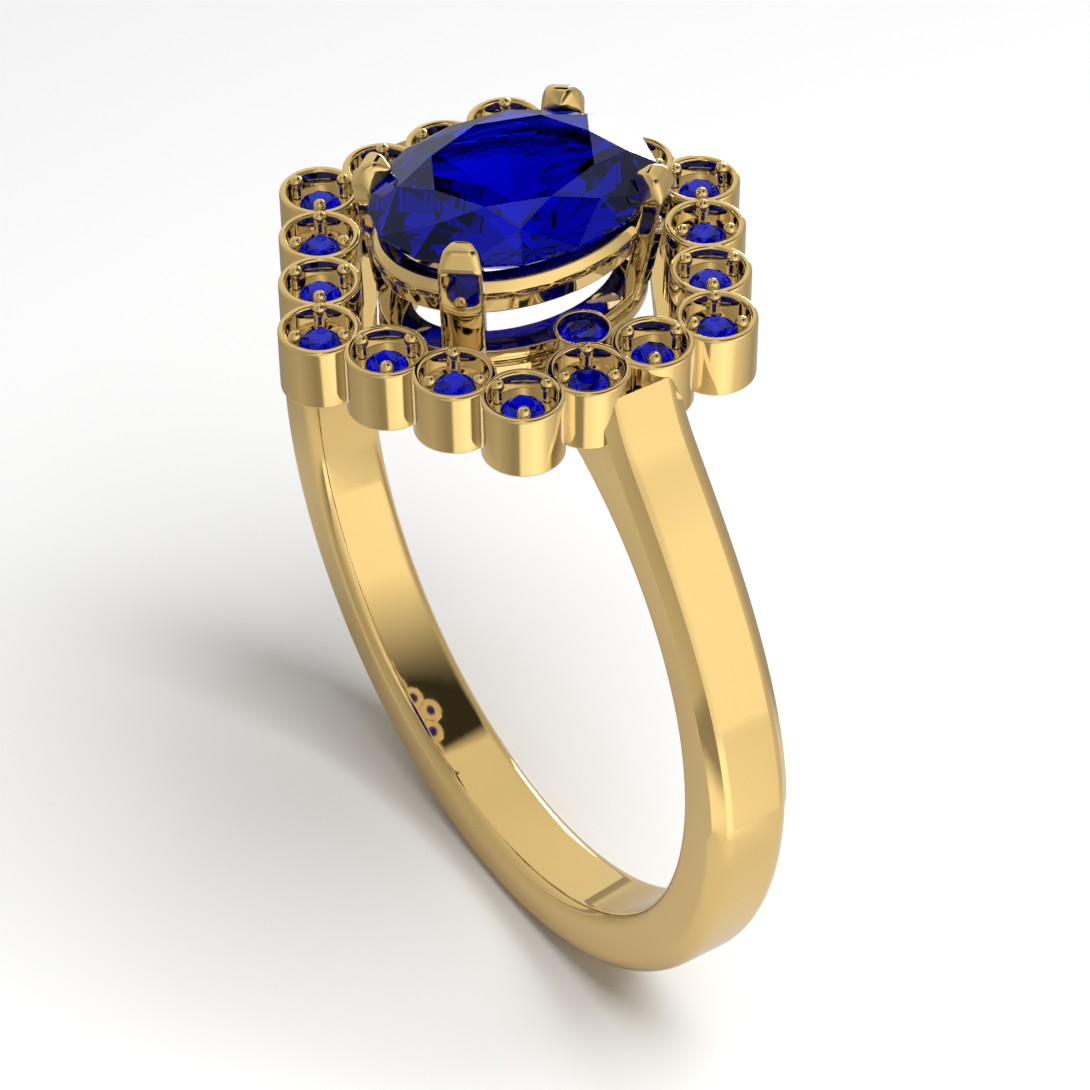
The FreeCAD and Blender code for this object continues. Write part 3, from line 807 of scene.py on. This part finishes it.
for number, (side_x, side_y) in enumerate(((1, -1), (1, 1), (-1, 1), (-1, -1)), start=1):
    bm = claw_mesh()
    bmesh.ops.translate(bm, vec=(0.0, -CLAW_OFFSET, 0.0), verts=bm.verts)
    bmesh.ops.rotate(bm, cent=(0, 0, 0), matrix=Matrix.Rotation(-CLAW_ANGLE, 3, "Z"), verts=bm.verts)
    bmesh.ops.scale(bm, vec=(side_x, -side_y, 1.0), verts=bm.verts)
    claw = piece_from("claw_%d_filed" % number, bm, polished_gold, 30)
    skin = claw.modifiers.new("Even skin", "REMESH")
    skin.mode = "VOXEL"
    skin.voxel_size = CLAW_SKIN * MM
    skin.use_smooth_shade = True
    polish = claw.modifiers.new("Polished edges", "SMOOTH")
    polish.factor = 0.5
    polish.iterations = CLAW_POLISH
    settle(claw)
    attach(claw, "root")
    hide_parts("claw_%d" % number)

# =====================================================================================================
# Centre stone.
# An oval blue sapphire in the full brilliant cut, held at its girdle by the four claws.
# =====================================================================================================
STONE_A, STONE_B, PAVILION_DEPTH = 2.73, 3.49, 2.3
GIRDLE_Z, TABLE_Z = 12.13, 12.84
centre_sapphire = sapphire("centre sapphire", 2800.0, 0.935)
centre_stone = brilliant_cut("centre_sapphire", STONE_A, STONE_B, TABLE_Z - GIRDLE_Z, PAVILION_DEPTH,
                             centre_sapphire)
centre_stone.data.transform(Matrix.Translation((0, 0, GIRDLE_Z * MM)))
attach(centre_stone, "root")
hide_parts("centre_stone")

# =====================================================================================================
# Studio.
# A white sheet under the ring, a pale surround that is brightest at the right and dark overhead, and a
# soft lamp above. In the metal's reflections the sheet is painted a darker grey, with painted light and
# shade that change round the ring, and it gives way to the wall far out. A small black card and a narrow
# strip of light are seen only in the reflections.
# =====================================================================================================
CAMERA_SPOT = Vector((59.53, -36.66, 64.29)) * MM
SHEET_HALF = 0.6
# Painted shade: the sheet is white to the camera, but the metal's reflections show it in this darker grey near the
# ring.
SHEET_WHITE, SHEET_PAINTED_GREY = 0.9, 0.56     # the sheet's lightness, straight and mirrored near the ring
NEAR_R, FAR_R = 0.016, 0.024  # distance over which that lightness gives way to the far one
EDGE_START, EDGE_END = 0.06, 0.12       # in reflections the sheet gives way to the wall over this distance
THROUGH_WALL, THROUGH_CEILING = 1.4, 0.3   # the surround's brightness in light that leaves the stones
SHEET_FILL = 0.45             # share of the surround's light that reaches the sheet
CEILING_RISE = (math.radians(25), math.radians(60))    # heights between which wall turns to ceiling
THROUGH_RISE = (math.radians(35), math.radians(65))    # the same in light that leaves the stones


def stops(ramp, pairs, interpolation="LINEAR"):
    """Fill a colour ramp with (position, grey) pairs."""
    ramp.interpolation = interpolation
    while len(ramp.elements) < len(pairs):
        ramp.elements.new(0.5)
    for element, (position, grey) in zip(ramp.elements, pairs):
        element.position = position
        element.color = (grey, grey, grey, 1.0)


def turns(degrees):
    """Where a compass direction, counted from +X, lies on a ramp of one full turn."""
    return degrees / 360 + 0.5


def worked(nodes, links, operation, *values):
    """The result of one sum on sockets or plain numbers."""
    node = nodes.new("ShaderNodeMath")
    node.operation = operation
    for socket, value in zip(node.inputs, values):
        if isinstance(value, float):
            socket.default_value = value
        else:
            links.new(value, socket)
    return node.outputs["Value"]


def spread(nodes, links, value, start, end, low=0.0, high=1.0, soft=False):
    """A value that goes from low to high while the incoming one goes from start to end."""
    node = nodes.new("ShaderNodeMapRange")
    if soft:
        node.interpolation_type = "SMOOTHSTEP"
    for name, number in (("From Min", start), ("From Max", end), ("To Min", low), ("To Max", high)):
        node.inputs[name].default_value = number
    links.new(value, node.inputs["Value"])
    return node.outputs["Result"]


def blend(nodes, links, share, first, second):
    """A colour between two others, each of them a socket or a plain colour."""
    node = nodes.new("ShaderNodeMix")
    node.data_type = "RGBA"
    links.new(share, node.inputs["Factor"])
    for socket, colour in ((node.inputs[6], first), (node.inputs[7], second)):
        if isinstance(colour, tuple):
            socket.default_value = colour
        else:
            links.new(colour, socket)
    return node.outputs[2]


def compass(nodes, links, vector):
    """Nodes that give the direction round the vertical of a vector, from 0 to 1 over a full turn."""
    split = nodes.new("ShaderNodeSeparateXYZ")
    links.new(vector, split.inputs["Vector"])
    bearing = worked(nodes, links, "ARCTAN2", split.outputs["Y"], split.outputs["X"])
    return split, spread(nodes, links, bearing, -math.pi, math.pi)


def studio_piece(name, bm, look):
    """An object of the studio, made from a mesh and one material."""
    mesh = bpy.data.meshes.new(name)
    bm.to_mesh(mesh)
    bm.free()
    mesh.materials.append(look)
    piece = bpy.data.objects.new(name, mesh)
    bpy.context.scene.collection.objects.link(piece)
    return piece


def only_mirrored(piece):
    """Hides a piece from the camera and from the light on matt things, and takes away its shadow."""
    piece.visible_camera = piece.visible_diffuse = piece.visible_shadow = False


white_sheet = bpy.data.materials.new("white sheet")
white_sheet.use_nodes = True
nodes, links = white_sheet.node_tree.nodes, white_sheet.node_tree.links
sheet_shader = nodes["Principled BSDF"]
sheet_shader.inputs["Roughness"].default_value = 0.9
sheet_shader.inputs["Specular IOR Level"].default_value = 0.0
spot = nodes.new("ShaderNodeTexCoord")
_, bearing = compass(nodes, links, spot.outputs["Object"])
# Painted light and shade: farther out, the sheet's grey in reflections changes with the bearing round the ring,
# bright round +X and dark elsewhere.
painted_far_light_and_shade = nodes.new("ShaderNodeValToRGB")
stops(painted_far_light_and_shade.color_ramp, [(turns(-180), 0.26), (turns(-90), 0.38), (turns(-52), 0.22), (turns(-42), 0.24),
                            (turns(-36), 0.78), (turns(-5), 0.95), (turns(10), 0.84), (turns(24), 0.58),
                            (turns(45), 0.45), (turns(76), 0.28), (turns(110), 0.38), (turns(180), 0.26)])
links.new(bearing, painted_far_light_and_shade.inputs["Fac"])
flatten = nodes.new("ShaderNodeVectorMath")
flatten.operation = "MULTIPLY"
flatten.inputs[1].default_value = (1.0, 1.0, 0.0)
links.new(spot.outputs["Object"], flatten.inputs[0])
away = nodes.new("ShaderNodeVectorMath")
away.operation = "LENGTH"
links.new(flatten.outputs["Vector"], away.inputs[0])
fade = spread(nodes, links, away.outputs["Value"], NEAR_R, FAR_R, soft=True)
# Painted shade: in reflections the sheet is grey near the ring and takes the painted light and shade of the
# bearing farther out.
painted_near_shade = (SHEET_PAINTED_GREY, SHEET_PAINTED_GREY, SHEET_PAINTED_GREY, 1.0)
painted_mirrored_shade = blend(nodes, links, fade, painted_near_shade, painted_far_light_and_shade.outputs["Color"])
# The camera and light through the stones see the plain white sheet; the metal's reflections see the painted grey.
ray = nodes.new("ShaderNodeLightPath")
clear_view = worked(nodes, links, "MAXIMUM", ray.outputs["Is Camera Ray"], ray.outputs["Is Transmission Ray"])
sheet_colour = blend(nodes, links, clear_view, painted_mirrored_shade, (SHEET_WHITE, SHEET_WHITE, SHEET_WHITE, 1.0))
links.new(sheet_colour, sheet_shader.inputs["Base Color"])
edge = spread(nodes, links, away.outputs["Value"], EDGE_START, EDGE_END, soft=True)
gone = worked(nodes, links, "MULTIPLY", edge, ray.outputs["Is Glossy Ray"])
links.new(worked(nodes, links, "SUBTRACT", 1.0, gone), sheet_shader.inputs["Alpha"])
bm = bmesh.new()
bmesh.ops.create_grid(bm, x_segments=1, y_segments=1, size=SHEET_HALF)
bmesh.ops.translate(bm, vec=(0, 0, cad_low.z), verts=bm.verts)
studio_floor = studio_piece("studio_floor", bm, white_sheet)

surround = bpy.data.worlds.new("surround")
bpy.context.scene.world = surround
surround.use_nodes = True
nodes, links = surround.node_tree.nodes, surround.node_tree.links
backdrop = nodes["Background"]
looking = nodes.new("ShaderNodeTexCoord")
split, bearing = compass(nodes, links, looking.outputs["Generated"])
height = worked(nodes, links, "ARCSINE", split.outputs["Z"])
lower_wall, ceiling = nodes.new("ShaderNodeValToRGB"), nodes.new("ShaderNodeValToRGB")
stops(lower_wall.color_ramp, [(turns(-180), 0.65), (turns(-125), 0.45), (turns(-70), 0.4), (turns(-40), 0.6),
                              (turns(0), 1.0), (turns(30), 1.02), (turns(60), 0.5), (turns(100), 0.4),
                              (turns(150), 0.76), (turns(180), 0.65)])
stops(ceiling.color_ramp, [(turns(-180), 0.6), (turns(-100), 0.35), (turns(-60), 0.3), (turns(-35), 1.0),
                           (turns(-10), 0.25), (turns(15), 0.03), (turns(88), 0.03), (turns(100), 0.7),
                           (turns(180), 0.65)])
links.new(bearing, lower_wall.inputs["Fac"])
links.new(bearing, ceiling.inputs["Fac"])
rise = spread(nodes, links, height, *CEILING_RISE)
room = blend(nodes, links, rise, lower_wall.outputs["Color"], ceiling.outputs["Color"])
kind = nodes.new("ShaderNodeLightPath")
through = spread(nodes, links, height, *THROUGH_RISE, THROUGH_WALL, THROUGH_CEILING)
links.new(blend(nodes, links, kind.outputs["Is Transmission Ray"], room, through), backdrop.inputs["Color"])
strength = spread(nodes, links, kind.outputs["Is Diffuse Ray"], 0.0, 1.0, 1.0, SHEET_FILL)
links.new(strength, backdrop.inputs["Strength"])

# A black card hangs where the centre stone's table would mirror the wall, so the table stays deep.
CARD_REACH, CARD_HALF = 0.010, 0.0025
card_black = bpy.data.materials.new("card black")
card_black.use_nodes = True
card_shader = card_black.node_tree.nodes["Principled BSDF"]
card_shader.inputs["Base Color"].default_value = (0.01, 0.01, 0.01, 1.0)
card_shader.inputs["Specular IOR Level"].default_value = 0.0
table_centre = Vector((0, 0, TABLE_Z * MM))
card_way = (table_centre - CAMERA_SPOT).normalized()
card_way.z = -card_way.z
bm = bmesh.new()
bmesh.ops.create_grid(bm, x_segments=1, y_segments=1, size=CARD_HALF)
bmesh.ops.rotate(bm, cent=(0, 0, 0), matrix=card_way.to_track_quat("Z", "Y").to_matrix(), verts=bm.verts)
bmesh.ops.translate(bm, vec=table_centre + card_way * CARD_REACH, verts=bm.verts)
black_card = studio_piece("black_card", bm, card_black)
only_mirrored(black_card)
black_card.visible_transmission = False

# A narrow strip of light low behind the ring on the right whitens the stone's far edge.
STRIP_REACH, STRIP_GLOW = 0.05, 6.5
STRIP_AZIMUTHS, STRIP_LOW, STRIP_HIGH = (116, 142), -0.004, 0.0165
bm = bmesh.new()
strip = [bm.verts.new((STRIP_REACH * math.cos(math.radians(a)), STRIP_REACH * math.sin(math.radians(a)), z))
         for a, z in ((STRIP_AZIMUTHS[0], STRIP_LOW), (STRIP_AZIMUTHS[1], STRIP_LOW),
                      (STRIP_AZIMUTHS[1], STRIP_HIGH), (STRIP_AZIMUTHS[0], STRIP_HIGH))]
bm.faces.new(strip)
strip_glow = bpy.data.materials.new("strip glow")
strip_glow.use_nodes = True
strip_shader = strip_glow.node_tree.nodes["Principled BSDF"]
strip_shader.inputs["Emission Color"].default_value = (1.0, 1.0, 1.0, 1.0)
strip_shader.inputs["Emission Strength"].default_value = STRIP_GLOW
light_strip = studio_piece("light_strip", bm, strip_glow)
only_mirrored(light_strip)


def soft_lamp(name, spot, size, watts):
    """A square lamp aimed at the ring, which lights the sheet and isn't seen in the metal."""
    lamp = bpy.data.lights.new(name, "AREA")
    lamp.shape = "SQUARE"
    lamp.size = size
    lamp.energy = watts
    holder = bpy.data.objects.new(name, lamp)
    bpy.context.scene.collection.objects.link(holder)
    holder.location = spot
    holder.rotation_mode = "QUATERNION"
    holder.rotation_quaternion = (-Vector(spot)).to_track_quat("-Z", "Y")
    holder.visible_glossy = False
    holder.visible_transmission = False
    return holder


LAMP_SPOT, LAMP_SIZE, LAMP_WATTS = (0.06, 0.02, 0.16), 0.13, 0.40
soft_lamp("overhead_lamp", LAMP_SPOT, LAMP_SIZE, LAMP_WATTS)

LOOK = Vector((-0.62813, 0.39502, -0.67038)).normalized()
CAMERA_ROLL = math.radians(-0.467)
camera = bpy.data.cameras.new("camera")
camera.lens = 126.5
camera.sensor_width = 36.0
camera.clip_start, camera.clip_end = 0.001, 10.0
camera_stand = bpy.data.objects.new("camera", camera)
bpy.context.scene.collection.objects.link(camera_stand)
right = LOOK.cross(Vector((0, 0, 1))).normalized()
up = right.cross(LOOK)
rolled_right = right * math.cos(CAMERA_ROLL) + up * math.sin(CAMERA_ROLL)
rolled_up = up * math.cos(CAMERA_ROLL) - right * math.sin(CAMERA_ROLL)
turn = Matrix((rolled_right, rolled_up, -LOOK)).transposed().to_4x4()
camera_stand.matrix_world = Matrix.Translation(CAMERA_SPOT) @ turn
bpy.context.scene.camera = camera_stand
bpy.context.scene.view_settings.view_transform = "Standard"
